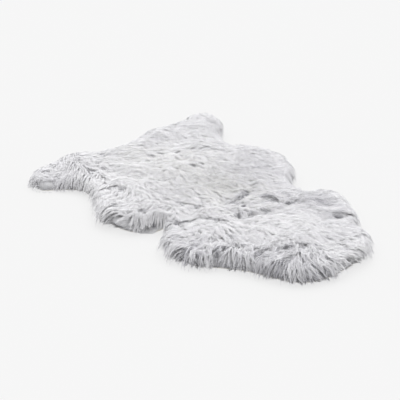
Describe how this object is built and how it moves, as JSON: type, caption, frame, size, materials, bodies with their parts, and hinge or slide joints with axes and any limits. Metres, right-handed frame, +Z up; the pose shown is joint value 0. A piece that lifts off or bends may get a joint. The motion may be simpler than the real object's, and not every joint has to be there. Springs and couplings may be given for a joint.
{
  "type": "sheepskin rug",
  "caption": "Whole sheepskin lying flat as a rug: a tanned skin with a deep, lumpy pile of long wool and locks hanging round its rim.",
  "frame": {"origin": "centre of the rug's footprint, on the floor", "axes": "+Y along the pelt from the neck to the tail, +X across it, +Z up out of the pile"},
  "size_m": [0.64, 0.972, 0.0721],
  "materials": {
    "skin": "suede, cream",
    "wool": "long soft wool, light silver grey"
  },
  "bodies": {
    "root": {"hide": "skin", "fleece": "wool"}
  },
  "joints": []
}
